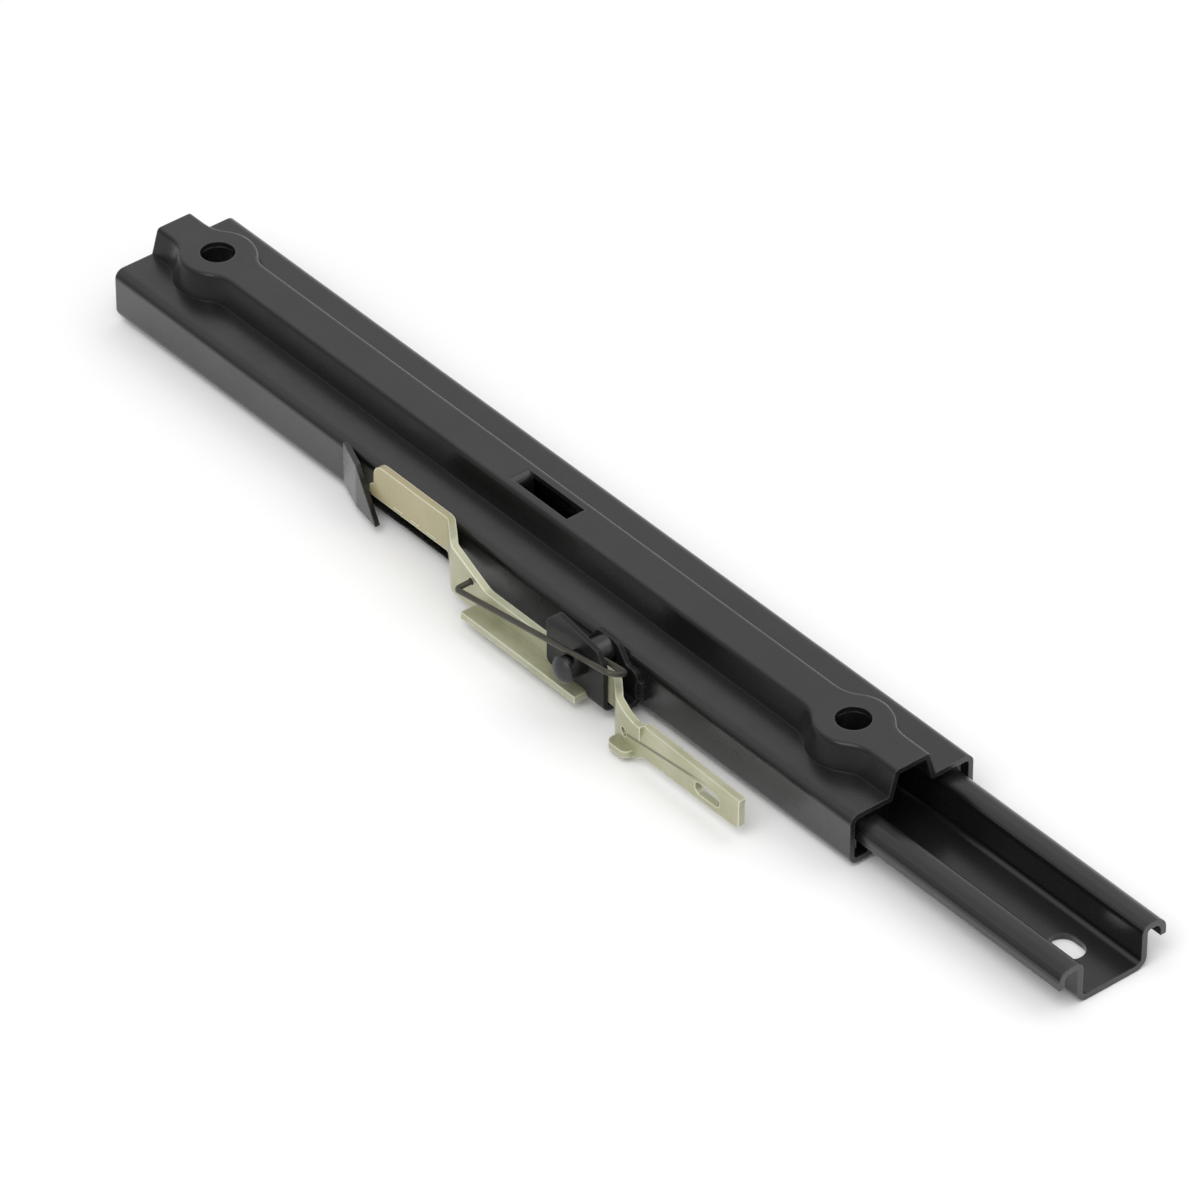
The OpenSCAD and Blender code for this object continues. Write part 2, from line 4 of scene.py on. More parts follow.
import bpy
import numpy as np
from bpy.props import FloatProperty, FloatVectorProperty, IntProperty, PointerProperty
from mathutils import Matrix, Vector


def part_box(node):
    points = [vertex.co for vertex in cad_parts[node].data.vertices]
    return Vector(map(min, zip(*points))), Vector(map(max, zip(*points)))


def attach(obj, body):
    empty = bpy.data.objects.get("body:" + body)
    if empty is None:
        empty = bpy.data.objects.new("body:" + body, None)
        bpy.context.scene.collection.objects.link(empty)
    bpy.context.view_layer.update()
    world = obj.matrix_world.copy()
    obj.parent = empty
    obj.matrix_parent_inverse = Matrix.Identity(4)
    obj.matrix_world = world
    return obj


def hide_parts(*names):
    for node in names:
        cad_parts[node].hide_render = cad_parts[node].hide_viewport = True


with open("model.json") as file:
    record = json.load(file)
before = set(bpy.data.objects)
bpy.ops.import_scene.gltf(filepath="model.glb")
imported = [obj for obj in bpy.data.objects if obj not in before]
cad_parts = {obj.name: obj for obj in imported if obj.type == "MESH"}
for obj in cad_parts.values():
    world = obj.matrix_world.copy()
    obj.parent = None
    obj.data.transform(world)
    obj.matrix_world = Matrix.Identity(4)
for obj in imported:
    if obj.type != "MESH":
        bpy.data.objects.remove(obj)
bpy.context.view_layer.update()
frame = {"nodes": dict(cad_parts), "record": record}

bl_info = {
    "name": "Seat slide rail",
    "version": (1, 0, 0),
    "blender": (4, 5, 0),
    "location": "3D View > Sidebar > Seat rail",
    "description": "Finishes a seat slide rail and sets it on a pale studio floor",
    "category": "Object",
}

MM = 0.001

# Upper rail: its sheet, the height just over its flats, and the outer face of its wall on the latch's side
UPPER_SHEET = 1.8 * MM
RIB_FOOT = 19.05 * MM
WALL_FACE = -23.5 * MM

# How far a collar's bore stands back from its hole
COLLAR_CLEARANCE = 0.05 * MM

# Weld beads: how far their middle lies out from the wall and off the bracket's edge, and how far it wanders
WELD_OUT = 0.4 * MM
WELD_OFF_EDGE = 0.25 * MM
WELD_WANDER = 0.12 * MM

# Stretch along the lever over which the blush of its far plate fades
BLUSH_FADE = (-95.0 * MM, -85.0 * MM)

# Painted shadow line along a crease on the tang's outer face: its start (x, z), climb, front end and the
# depth it lies outside of
CREASE_START = (7.0 * MM, 8.5 * MM)
CREASE_CLIMB = 0.0928
CREASE_END = 46.0 * MM
CREASE_OUTER = -39.2 * MM

# Painted shadow line: how it comes in and dies out along its length, and where it is darkest and gone across
# it
CREASE_COMES_IN = 1.0 * MM
CREASE_DIES_OUT = 12.0 * MM
CREASE_DARK = 0.15 * MM
CREASE_GONE = 0.7 * MM

# Corners of the spring's route, the same as the solid spring's, the radii of its bends and its cut ends
SPRING_ROUTE = np.array([
    [-72.5, -29.7, 13.8], [-72.5, -39.0, 13.8], [0.0, -39.0, 25.319],
    [-1.0, -32.4, 22.119], [-12.5, -32.4, 20.519]]) * MM
SPRING_BENDS = np.array([1.5, 3.0, 3.0]) * MM
SPRING_CHAMFER = 0.35 * MM

# Studio: half the floor's side, how far it lies under the rail, and the camera's sensor in millimetres
FLOOR_HALF = 4.0
FLOOR_DROP = 0.2 * MM
SENSOR_WIDTH = 36.0

# Places of the share, the two colours and the result among the Mix node's sockets
MIX_SHARE, MIX_A, MIX_B, MIX_RESULT = 0, 6, 7, 2


# Settings

def colour(name, description, default):
    """Colour property with a colour picker."""
    return FloatVectorProperty(
        name=name, description=description, subtype="COLOR", size=3, min=0.0, max=1.0, default=default)


def length(name, description, default):
    """Length property in metres."""
    return FloatProperty(name=name, description=description, unit="LENGTH", default=default)


def share(name, description, default):
    """Property from 0 to 1."""
    return FloatProperty(
        name=name, description=description, subtype="FACTOR", min=0.0, max=1.0, default=default)


def spot(name, description, default):
    """Place property in metres."""
    return FloatVectorProperty(
        name=name, description=description, subtype="XYZ", unit="LENGTH", size=3, default=default)


def power(name, description, default):
    """Power property in watts."""
    return FloatProperty(name=name, description=description, unit="POWER", default=default)


class RailPaintSettings(bpy.types.PropertyGroup):
    """Baked black paint on both rails and the bracket."""
    upper: colour("Upper rail", "Paint on the upper rail", (0.009, 0.009, 0.0094))
    lower: colour("Lower rail", "Paint on the lower rail", (0.009, 0.009, 0.0094))
    bracket: colour("Bracket", "Paint on the pivot bracket", (0.008, 0.008, 0.0083))
    # Edge colour: partly paint worn thin at the edges, partly a painted highlight.
    edge: colour("Edges", "Paint drawn thin over the edges", (0.06, 0.06, 0.06))
    roughness: share("Roughness", "How far the rails' paint spreads a reflection", 0.27)
    gloss: share("Gloss", "Strength of the reflections in the rails' paint", 0.82)
    bracket_roughness: share("Bracket roughness", "How far the bracket's paint spreads a reflection", 0.46)
    bracket_gloss: share("Bracket gloss", "Strength of the reflections in the bracket's paint", 0.08)
    edge_round: length("Edge rounding", "Radius of the rounding at sheared edges", 0.6 * MM)


class CollarSettings(bpy.types.PropertyGroup):
    """Collars drawn down under the seat holes."""
    depth: length("Depth", "Depth of a collar under the rib", 8.0 * MM)
    wall: length("Wall", "Thickness of a collar's wall", 1.4 * MM)
    fillet: length("Fillet", "Radius of the hollow where a collar leaves the rib", 1.5 * MM)


class LatchSettings(bpy.types.PropertyGroup):
    """Yellow plating on the lever, and the steel parts on its pivot."""
    straw: colour("Straw", "Plating where it is thin", (0.46, 0.46, 0.34))
    olive: colour("Olive", "Plating where it is thick", (0.325, 0.345, 0.215))
    blush: colour("Blush", "Warm tint at the lever's far plate", (0.415, 0.35, 0.19))
    # Edge colour: partly rubbed plating, partly a painted highlight.
    edge: colour("Edges", "Plating rubbed bright at the edges", (0.92, 0.92, 0.78))
    roughness: share("Roughness", "How far the plating spreads a reflection", 0.34)
    steel: colour("Steel", "Bush and sleeve on the pivot", (0.07, 0.07, 0.07))
    pin: colour("Pin", "Blackened pivot pin", (0.030, 0.030, 0.032))


class SpringSettings(bpy.types.PropertyGroup):
    """Wire of the return spring."""
    wire: length("Wire", "Diameter of the spring wire", 1.8 * MM)
    sides: IntProperty(name="Sides", description="Flats round the wire", min=8, max=48, default=20)
    colour: colour("Colour", "Oil-blackened wire", (0.055, 0.050, 0.038))


class WeldSettings(bpy.types.PropertyGroup):
    """Weld beads between the bracket's inner ear and the wall."""
    half_width: length("Half width", "Half the width of a bead between its ripples", 1.45 * MM)
    start: length("Start", "Height of a bead's foot over the bracket's", 2.0 * MM)
    run: length("Run", "Length of a bead", 7.0 * MM)
    ripples: IntProperty(name="Ripples", description="Ripples along a bead", min=1, max=20, default=7)
    edge_round: length("Edge rounding", "Reach of the thin paint on a bead", 0.3 * MM)


class RollerSettings(bpy.types.PropertyGroup):
    """Ball cages and balls between the rails."""
    # Cage colour is set far darker than natural plastic: painted shade for the dark inside of the rails.
    cage: colour("Cage", "Natural plastic under a film of grease", (0.22, 0.21, 0.17))
    ball: colour("Ball", "Polished ball steel", (0.55, 0.56, 0.58))


class StageSettings(bpy.types.PropertyGroup):
    """Camera, floor and lights."""
    eye: spot("Camera", "Place of the camera", (1.544, -1.321, 1.6085))
    aim: spot("Aim", "Point at the picture's middle", (-0.043, -0.008, 0.012))
    lens: FloatProperty(name="Lens", description="Focal length", unit="CAMERA", default=264.0)
    floor: colour("Floor", "Pale studio floor", (0.95, 0.95, 0.95))
    box_size: length("Box size", "Side of each square soft box", 1.6)
    key_place: spot("Key place", "Place of the soft box on the latch's side", (0.6, -1.2, 1.9))
    key: power("Key", "Power of the soft box on the latch's side", 24.0)
    back_place: spot("Back place", "Place of the soft box behind the rail", (0.35, 1.3, 1.9))
    back: power("Back", "Power of the soft box behind the rail", 7.0)
    fill: FloatProperty(name="Fill", description="Strength of the light from all round", default=0.72)


# Shader nodes

def plug(tree, value, socket):
    """Socket linked to another socket, or set to a number or colour."""
    if isinstance(value, bpy.types.NodeSocket):
        tree.links.new(value, socket)
    else:
        socket.default_value = value


def math_node(tree, operation, *values):
    """Math node with each input a number or a socket."""
    node = tree.nodes.new("ShaderNodeMath")
    node.operation = operation
    for value, socket in zip(values, node.inputs):
        plug(tree, value, socket)
    return node.outputs[0]


def remap(tree, value, low, high, to_low, to_high):
    """Value carried from one range to another and held at the ends; each end is a number or a socket."""
    node = tree.nodes.new("ShaderNodeMapRange")
    names = ("Value", "From Min", "From Max", "To Min", "To Max")
    for name, part in zip(names, (value, low, high, to_low, to_high)):
        plug(tree, part, node.inputs[name])
    return node.outputs["Result"]


def noise(tree, place, scale, detail, roughness=0.5):
    """Noise texture on a place socket, with scale a number or a socket."""
    node = tree.nodes.new("ShaderNodeTexNoise")
    names = ("Vector", "Scale", "Detail", "Roughness")
    for name, part in zip(names, (place, scale, detail, roughness)):
        plug(tree, part, node.inputs[name])
    return node.outputs["Fac"]


def mix_colour(tree, share_socket, a, b):
    """Colour from a to b by a share, with each colour a triple or a socket."""
    node = tree.nodes.new("ShaderNodeMix")
    node.data_type = "RGBA"
    tree.links.new(share_socket, node.inputs[MIX_SHARE])
    for slot, value in ((MIX_A, a), (MIX_B, b)):
        linked = isinstance(value, bpy.types.NodeSocket)
        plug(tree, value if linked else (*value, 1.0), node.inputs[slot])
    return node.outputs[MIX_RESULT]


def toned(tone, factor):
    """Colour made lighter or darker by a factor."""
    return tuple(factor * part for part in tone)


def apart(tree, vector):
    """Outputs X, Y and Z of a vector."""
    node = tree.nodes.new("ShaderNodeSeparateXYZ")
    tree.links.new(vector, node.inputs["Vector"])
    return node.outputs


def object_place(tree):
    """Place on the piece, in the object's own coordinates."""
    return tree.nodes.new("ShaderNodeTexCoord").outputs["Object"]


def bump(tree, height, normal, strength, distance):
    """Bump of a height over a normal."""
    node = tree.nodes.new("ShaderNodeBump")
    names = ("Height", "Normal", "Strength", "Distance")
    for name, part in zip(names, (height, normal, strength, distance)):
        plug(tree, part, node.inputs[name])
    return node.outputs["Normal"]


# Shader node groups

def new_group(name, inputs, outputs):
    """Empty node group with named sockets: inputs are (name, kind, default), outputs are (name, kind)."""
    group = bpy.data.node_groups.new(name, "ShaderNodeTree")
    for socket_name, kind, default in inputs:
        socket = group.interface.new_socket(name=socket_name, in_out="INPUT", socket_type=kind)
        socket.default_value = default
    for socket_name, kind in outputs:
        group.interface.new_socket(name=socket_name, in_out="OUTPUT", socket_type=kind)
    return group, group.nodes.new("NodeGroupInput"), group.nodes.new("NodeGroupOutput")


def edge_group(name):
    """Rounded edges: a normal eased over the edge by a radius, and a mask that is 1 on outward edges only.

    Rays cast into the material within the radius meet another face only at an outward edge.
    """
    group, given, result = new_group(
        name, [("Radius", "NodeSocketFloat", 0.5 * MM)],
        [("Normal", "NodeSocketVector"), ("Edge", "NodeSocketFloat")])
    bevel = group.nodes.new("ShaderNodeBevel")
    inward = group.nodes.new("ShaderNodeAmbientOcclusion")
    inward.inside = True
    bevel.samples = inward.samples = 6
    group.links.new(given.outputs["Radius"], bevel.inputs["Radius"])
    group.links.new(given.outputs["Radius"], inward.inputs["Distance"])
    clear_of_edge, at_edge = 0.92, 0.55
    mask = remap(group, inward.outputs["AO"], clear_of_edge, at_edge, 0.0, 1.0)
    group.links.new(bevel.outputs["Normal"], result.inputs["Normal"])
    group.links.new(mask, result.inputs["Edge"])
    return group


def skin_group(name):
    """Uneven surface: broad cloudy patches, a fine grain, and a height for bump, by object place.

    The patches and the grain are noise, stretched to run from 0 to 1.
    """
    group, given, result = new_group(
        name,
        [("Patch size", "NodeSocketFloat", 40.0), ("Grain size", "NodeSocketFloat", 900.0)],
        [("Patch", "NodeSocketFloat"), ("Grain", "NodeSocketFloat"), ("Height", "NodeSocketFloat")])
    place = object_place(group)
    patch = noise(group, place, given.outputs["Patch size"], 4.0, 0.6)
    grain = noise(group, place, given.outputs["Grain size"], 2.0)
    group.links.new(remap(group, patch, 0.32, 0.68, 0.0, 1.0), result.inputs["Patch"])
    group.links.new(remap(group, grain, 0.30, 0.70, 0.0, 1.0), result.inputs["Grain"])
    group.links.new(grain, result.inputs["Height"])
    return group


def sideways_shade_group(name):
    """Sideways shade: a mask that is 1 where a face leans sideways, on the rib's sides and inside the folds;
    the paint's colour is darkened there as painted shade, and its coat dulled.

    Above the height even a slight lean counts; below it only steep faces do, so a fold is a thin line.
    A face that leans towards the rail's ends doesn't count.
    """
    group, given, result = new_group(
        name, [("Height", "NodeSocketFloat", 20.0 * MM)], [("Side shade", "NodeSocketFloat")])
    facing = apart(group, group.nodes.new("ShaderNodeNewGeometry").outputs["Normal"])
    above = math_node(group, "GREATER_THAN", apart(group, object_place(group))["Z"], given.outputs["Height"])
    fold_flattest, rib_flattest, ease = 0.70, 0.94, 0.2
    flattest = remap(group, above, 0.0, 1.0, fold_flattest, rib_flattest)
    off_flat = remap(group, facing["Z"], math_node(group, "SUBTRACT", flattest, ease), flattest, 1.0, 0.0)
    off_wall = remap(group, facing["Z"], 0.08, 0.18, 0.0, 1.0)
    sideways = remap(group, math_node(group, "ABSOLUTE", facing["Y"]), 0.12, 0.30, 0.0, 1.0)
    lean = math_node(group, "MULTIPLY", off_wall, off_flat)
    group.links.new(math_node(group, "MULTIPLY", lean, sideways), result.inputs["Side shade"])
    return group


GROUP_MAKERS = {"Rounded edge": edge_group, "Uneven skin": skin_group, "Sideways shade": sideways_shade_group}


def use_group(tree, name, **values):
    """Group placed in a material's tree with its own values, and made the first time.

    Spaces in a socket's name are written as _.
    """
    node = tree.nodes.new("ShaderNodeGroup")
    node.node_tree = bpy.data.node_groups.get(name) or GROUP_MAKERS[name](name)
    for socket, value in values.items():
        node.inputs[socket.replace("_", " ")].default_value = value
    return node.outputs


# Finishes

def new_material(name):
    """Material with its node tree."""
    material = bpy.data.materials.new(name)
    material.use_nodes = True
    return material, material.node_tree


def feed(tree, values):
    """Values of the shader's sockets: what varies is linked, and a plain number is set on the socket."""
    for name, value in values.items():
        plug(tree, value, tree.nodes["Principled BSDF"].inputs[name])


def paint(name, body, edge, roughness, gloss, radius):
    """Baked paint: cloudy in tone and gloss, with orange peel; lighter at the edges, partly paint worn thin
    and partly a painted highlight; dull, and darkened as painted shade, on faces that lean sideways.
    """
    material, tree = new_material(name)
    skin = use_group(tree, "Uneven skin", Patch_size=55.0, Grain_size=1400.0)
    rim = use_group(tree, "Rounded edge", Radius=radius)
    # Mask of faces that lean sideways, the rib's sides and the folds: painted shade darkens the colour
    # there, and the coat is dulled.
    drawn = use_group(tree, "Sideways shade", Height=RIB_FOOT)["Side shade"]
    shade = mix_colour(tree, skin["Patch"], toned(body, 0.88), toned(body, 1.14))
    # Painted shade: faces that lean sideways darken towards 0.55 of the body colour.
    sideways_shaded = mix_colour(tree, drawn, shade, toned(body, 0.55))
    # Edges lighten towards the edge colour: partly paint worn thin, partly a painted highlight.
    rubbed = math_node(tree, "MULTIPLY", rim["Edge"], remap(tree, skin["Grain"], 0.0, 1.0, 0.25, 0.75))
    cloudy = remap(tree, skin["Patch"], 0.0, 1.0, 0.92 * gloss, gloss)
    feed(tree, {
        "Base Color": mix_colour(tree, rubbed, sideways_shaded, edge),
        "Roughness": remap(tree, skin["Patch"], 0.0, 1.0, roughness + 0.05, roughness - 0.05),
        "Specular IOR Level": 0.25,
        "Coat Weight": remap(tree, drawn, 0.0, 1.0, cloudy, 0.05 * gloss),
        "Coat Roughness": roughness,
        "Normal": bump(tree, skin["Height"], rim["Normal"], 0.16, 0.2 * MM),
    })
    return material


def crease_shadow_line(tree, place):
    """Mask of a painted shadow line along the tang's crease: it falls off with the height over or under a
    line.

    The line climbs forwards from the small hole, comes in there and dies out before the tang's end.
    """
    start_x, start_z = CREASE_START
    height = math_node(tree, "MULTIPLY_ADD", place["X"], CREASE_CLIMB, start_z - CREASE_CLIMB * start_x)
    off = math_node(tree, "ABSOLUTE", math_node(tree, "SUBTRACT", place["Z"], height))
    line = remap(tree, off, CREASE_DARK, CREASE_GONE, 0.8, 0.0)
    begun = remap(tree, place["X"], start_x, start_x + CREASE_COMES_IN, 0.0, 1.0)
    left = remap(tree, place["X"], CREASE_END - CREASE_DIES_OUT, CREASE_END, 1.0, 0.0)
    outer = math_node(tree, "LESS_THAN", place["Y"], CREASE_OUTER)
    along = math_node(tree, "MULTIPLY", begun, left)
    return math_node(tree, "MULTIPLY", line, math_node(tree, "MULTIPLY", along, outer))


def drawn_lines(tree, place):
    """Height of fine lines along the strip: noise drawn out along X."""
    stretch = tree.nodes.new("ShaderNodeMapping")
    stretch.inputs["Scale"].default_value = (0.06, 1.0, 1.0)
    tree.links.new(place, stretch.inputs["Vector"])
    return noise(tree, stretch.outputs["Vector"], 2600.0, 2.0)


def plating(name, settings):
    """Yellow zinc plating: straw to olive clouds, a warm blush, a painted shadow line along the tang's
    crease, lines along the strip, and bright edges that are partly rubbed plating and partly a painted
    highlight.
    """
    material, tree = new_material(name)
    skin = use_group(tree, "Uneven skin", Patch_size=70.0, Grain_size=1800.0)
    rim = use_group(tree, "Rounded edge", Radius=0.5 * MM)
    place = object_place(tree)
    along = apart(tree, place)
    far = remap(tree, along["X"], *BLUSH_FADE, 1.0, 0.2)
    warm = math_node(tree, "MULTIPLY", far, remap(tree, noise(tree, place, 28.0, 2.0), 0.40, 0.60, 0.5, 1.0))
    cloud = mix_colour(tree, skin["Patch"], settings.straw, settings.olive)
    tinted = mix_colour(tree, warm, cloud, settings.blush)
    # Painted shadow: a dark olive line along the tang's crease.
    crease_shadowed = mix_colour(tree, crease_shadow_line(tree, along), tinted, toned(settings.olive, 0.22))
    # Edges lighten towards the edge colour: partly rubbed plating, partly a painted highlight.
    rubbed = math_node(tree, "MULTIPLY", rim["Edge"], 0.7)
    lines = drawn_lines(tree, place)
    feed(tree, {
        "Base Color": mix_colour(tree, rubbed, crease_shadowed, settings.edge),
        "Metallic": 0.36,
        "Roughness": remap(tree, lines, 0.3, 0.7, settings.roughness - 0.07, settings.roughness + 0.09),
        "Coat Weight": 0.3,
        "Coat Roughness": 0.3,
        "Normal": bump(tree, lines, rim["Normal"], 0.05, 0.1 * MM),
    })
    return material


def steel(name, tone, roughness, metallic=1.0):
    """Turned or drawn steel: patches in tone and a fine grain."""
    material, tree = new_material(name)
    skin = use_group(tree, "Uneven skin", Patch_size=240.0, Grain_size=3200.0)
    rim = use_group(tree, "Rounded edge", Radius=0.3 * MM)
    feed(tree, {
        "Base Color": mix_colour(tree, skin["Patch"], toned(tone, 0.85), toned(tone, 1.12)),
        "Metallic": metallic,
        "Roughness": remap(tree, skin["Grain"], 0.0, 1.0, roughness - 0.05, roughness + 0.07),
        "Normal": bump(tree, skin["Height"], rim["Normal"], 0.08, 0.1 * MM),
    })
    return material


def moulding(name, tone):
    """Moulded plastic: soft patches and a faint grain."""
    material, tree = new_material(name)
    skin = use_group(tree, "Uneven skin", Patch_size=120.0, Grain_size=2200.0)
    rim = use_group(tree, "Rounded edge", Radius=0.4 * MM)
    feed(tree, {
        "Base Color": mix_colour(tree, skin["Patch"], toned(tone, 0.93), tone),
        "Roughness": remap(tree, skin["Grain"], 0.0, 1.0, 0.45, 0.58),
        "Normal": bump(tree, skin["Height"], rim["Normal"], 0.12, 0.1 * MM),
    })
    return material


def dress(material, *nodes):
    """Material put into the slots of CAD nodes."""
    for node in nodes:
        for slot in frame["nodes"][node].material_slots:
            slot.material = material


# Surfaces

def grid_object(name, points, material, close_rows=False, close_columns=True):
    """Mesh object from a grid of points (rows, columns, 3), joined in quads; a tube's open ends get caps."""
    rows, columns = points.shape[:2]
    index = np.arange(rows * columns).reshape(rows, columns)
    near = index if close_rows else index[:-1]
    far = np.roll(index, -1, axis=0) if close_rows else index[1:]
    if close_columns:
        corners = [near, np.roll(near, -1, axis=1), np.roll(far, -1, axis=1), far]
    else:
        corners = [near[:, :-1], near[:, 1:], far[:, 1:], far[:, :-1]]
    faces = np.stack(corners, axis=-1).reshape(-1, 4).tolist()
    if close_columns and not close_rows:
        faces += [index[0, ::-1].tolist(), index[-1].tolist()]
    mesh = bpy.data.meshes.new(name)
    mesh.from_pydata(points.reshape(-1, 3).tolist(), [], faces)
    mesh.validate()
    mesh.update()
    mesh.polygons.foreach_set("use_smooth", np.array([len(face) == 4 for face in faces], dtype=bool))
    mesh.materials.append(material)
    piece = bpy.data.objects.new(name, mesh)
    bpy.context.scene.collection.objects.link(piece)
    return piece


def tube(path, radius, sides):
    """Round bar on a path: each ring lies across the path's direction, at radius about the point.

    The rings' first direction is the part of one slanted vector that is square to the path; no stretch of
    the path runs along that vector, so the rings never flip.
    """
    direction = np.gradient(path, axis=0)
    direction /= np.linalg.norm(direction, axis=1, keepdims=True)
    slant = np.array([0.5, 0.7, 0.5])
    first = slant - (direction @ slant)[:, None] * direction
    first /= np.linalg.norm(first, axis=1, keepdims=True)
    second = np.cross(direction, first)
    angle = np.linspace(0.0, 2.0 * np.pi, sides, endpoint=False)
    radius = np.broadcast_to(radius, len(path))[:, None, None]
    around = np.cos(angle)[None, :, None] * first[:, None] + np.sin(angle)[None, :, None] * second[:, None]
    return path[:, None] + radius * around


def bend(before, at, after, radius, steps):
    """Arc of a radius that turns the corner before-at-after, as points from its start to its end."""
    u = (before - at) / np.linalg.norm(before - at)
    v = (after - at) / np.linalg.norm(after - at)
    half = np.arccos(u @ v) / 2.0
    centre = at + (u + v) / np.linalg.norm(u + v) * radius / np.sin(half)
    start = at + u * radius / np.tan(half) - centre
    end = at + v * radius / np.tan(half) - centre
    turn = np.pi - 2.0 * half
    t = np.linspace(0.0, 1.0, steps)[:, None]
    return centre + (start * np.sin(turn * (1.0 - t)) + end * np.sin(turn * t)) / np.sin(turn)


def straight(a, b, steps):
    """Points on a line, without its ends."""
    return a + (b - a) * np.linspace(0.0, 1.0, steps + 2)[1:-1, None]


def spring_path(bend_steps=14, run_steps=10):
    """Route of the wire: a finger, a straight leg, a loop of two bends and a tail.

    Each inner corner is an arc that touches both of its straight runs; the runs join arc to arc.
    """
    parts = [SPRING_ROUTE[:1]]
    for i, radius in enumerate(SPRING_BENDS, start=1):
        arc = bend(SPRING_ROUTE[i - 1], SPRING_ROUTE[i], SPRING_ROUTE[i + 1], radius, bend_steps)
        parts += [straight(parts[-1][-1], arc[0], run_steps), arc]
    parts += [straight(parts[-1][-1], SPRING_ROUTE[-1], run_steps), SPRING_ROUTE[-1:]]
    return np.concatenate(parts)


def cut_ends(path, radius, chamfer, cut=0.72):
    """Radius along a path, from the cut's share of it at both ends to all of it past the chamfer."""
    step = np.linalg.norm(np.diff(path, axis=0), axis=1)
    run = np.concatenate([[0.0], np.cumsum(step)])
    to_end = np.minimum(run, run[-1] - run)
    return radius * (cut + (1.0 - cut) * np.clip(to_end / chamfer, 0.0, 1.0))


def weld_bead(x, foot, side, settings):
    """Fillet weld up the edge of the bracket's inner ear: a bar that swells with each ripple and tapers out.

    Half width = w (1 - (2t - 1)^6)^(1/3) (1 + 0.12 |sin(n pi t)|) for n ripples, with t from 0 at the foot
    to 1 at the top; its middle wanders a little along the wall.
    """
    t = np.linspace(0.0, 1.0, 61)
    taper = np.clip(1.0 - (2.0 * t - 1.0) ** 6, 1e-4, None) ** (1.0 / 3.0)
    ripple = 1.0 + 0.12 * np.abs(np.sin(np.pi * settings.ripples * t))
    path = np.stack([
        x + side * WELD_OFF_EDGE + WELD_WANDER * np.sin(11.0 * t),
        np.full_like(t, WALL_FACE - WELD_OUT),
        foot + settings.start + settings.run * t], axis=1)
    return tube(path, settings.half_width * taper * ripple, 18)


def seat_collar(x, top, bore, settings):
    """Collar under a seat hole: a wall of one thickness turned about the hole's axis, from a profile (r, z).

    The profile goes down the bore, half round the lower edge, and up to a hollow fillet under the rib.
    """
    half, fillet = settings.wall / 2.0, settings.fillet
    middle, low = bore + half, top - settings.depth + half
    outer = bore + settings.wall + fillet
    under = np.linspace(np.pi, 2.0 * np.pi, 9)
    back = np.linspace(np.pi, np.pi / 2.0, 7)
    down = np.array([[bore, top], [bore, top - half]])
    edge = np.stack([middle + half * np.cos(under), low + half * np.sin(under)], axis=1)
    hollow = np.stack([outer + fillet * np.cos(back), top - fillet * (1.0 - np.sin(back))], axis=1)
    r, z = np.concatenate([down, edge, hollow]).T[:, :, None]
    angle = np.linspace(0.0, 2.0 * np.pi, 72, endpoint=False)[None]
    return np.stack([x + r * np.cos(angle), r * np.sin(angle), z + 0.0 * angle], axis=-1)


# Operators

class RAIL_OT_paint_rails(bpy.types.Operator):
    """Paint both rails and the pivot bracket"""
    bl_idname = "seat_rail.paint_rails"
    bl_label = "Paint rails"

    def execute(self, context):
        settings = context.scene.rail_paint
        rails = settings.roughness, settings.gloss
        bracket = settings.bracket_roughness, settings.bracket_gloss
        for node, name, tone, finish in (
                ("upper_rail", "Upper rail paint", settings.upper, rails),
                ("lower_rail", "Lower rail paint", settings.lower, rails),
                ("pivot_bracket", "Bracket paint", settings.bracket, bracket)):
            dress(paint(name, tone, settings.edge, *finish, settings.edge_round), node)
        return {"FINISHED"}


class RAIL_OT_draw_collars(bpy.types.Operator):
    """Draw the collars under the seat holes"""
    bl_idname = "seat_rail.draw_collars"
    bl_label = "Draw seat collars"

    def execute(self, context):
        holes = next(mount for mount in frame["record"]["mounts"] if mount["name"] == "seat_holes")
        middle, _, rib_top = holes["pos_m"]
        reach = holes["dims"]["spacing_x_mm"] * MM / 2.0
        bore = holes["dims"]["hole_r_mm"] * MM + COLLAR_CLEARANCE
        material = bpy.data.materials["Upper rail paint"]
        for name, x in (("seat_collar_rear", middle - reach), ("seat_collar_front", middle + reach)):
            points = seat_collar(x, rib_top - UPPER_SHEET, bore, context.scene.rail_collars)
            piece = grid_object(name, points, material, close_rows=True)
            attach(piece, "upper_rail")
        return {"FINISHED"}


class RAIL_OT_plate_latch(bpy.types.Operator):
    """Plate the release lever and finish the steel parts on its pivot"""
    bl_idname = "seat_rail.plate_latch"
    bl_label = "Plate latch"

    def execute(self, context):
        settings = context.scene.rail_latch
        dress(plating("Yellow plating", settings), "release_lever")
        dress(steel("Pivot steel", settings.steel, 0.34), "pivot_bush", "spring_sleeve")
        dress(steel("Blackened pin", settings.pin, 0.38, metallic=0.35), "pivot_pin")
        return {"FINISHED"}


class RAIL_OT_make_spring(bpy.types.Operator):
    """Wind the return spring from smooth wire"""
    bl_idname = "seat_rail.make_spring"
    bl_label = "Wind return spring"

    def execute(self, context):
        settings = context.scene.rail_spring
        path = spring_path()
        radius = cut_ends(path, settings.wire / 2.0, SPRING_CHAMFER)
        material = steel("Spring wire", settings.colour, 0.36, metallic=0.4)
        piece = grid_object("return_spring_wire", tube(path, radius, settings.sides), material)
        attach(piece, "release_lever")
        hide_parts("return_spring")
        return {"FINISHED"}


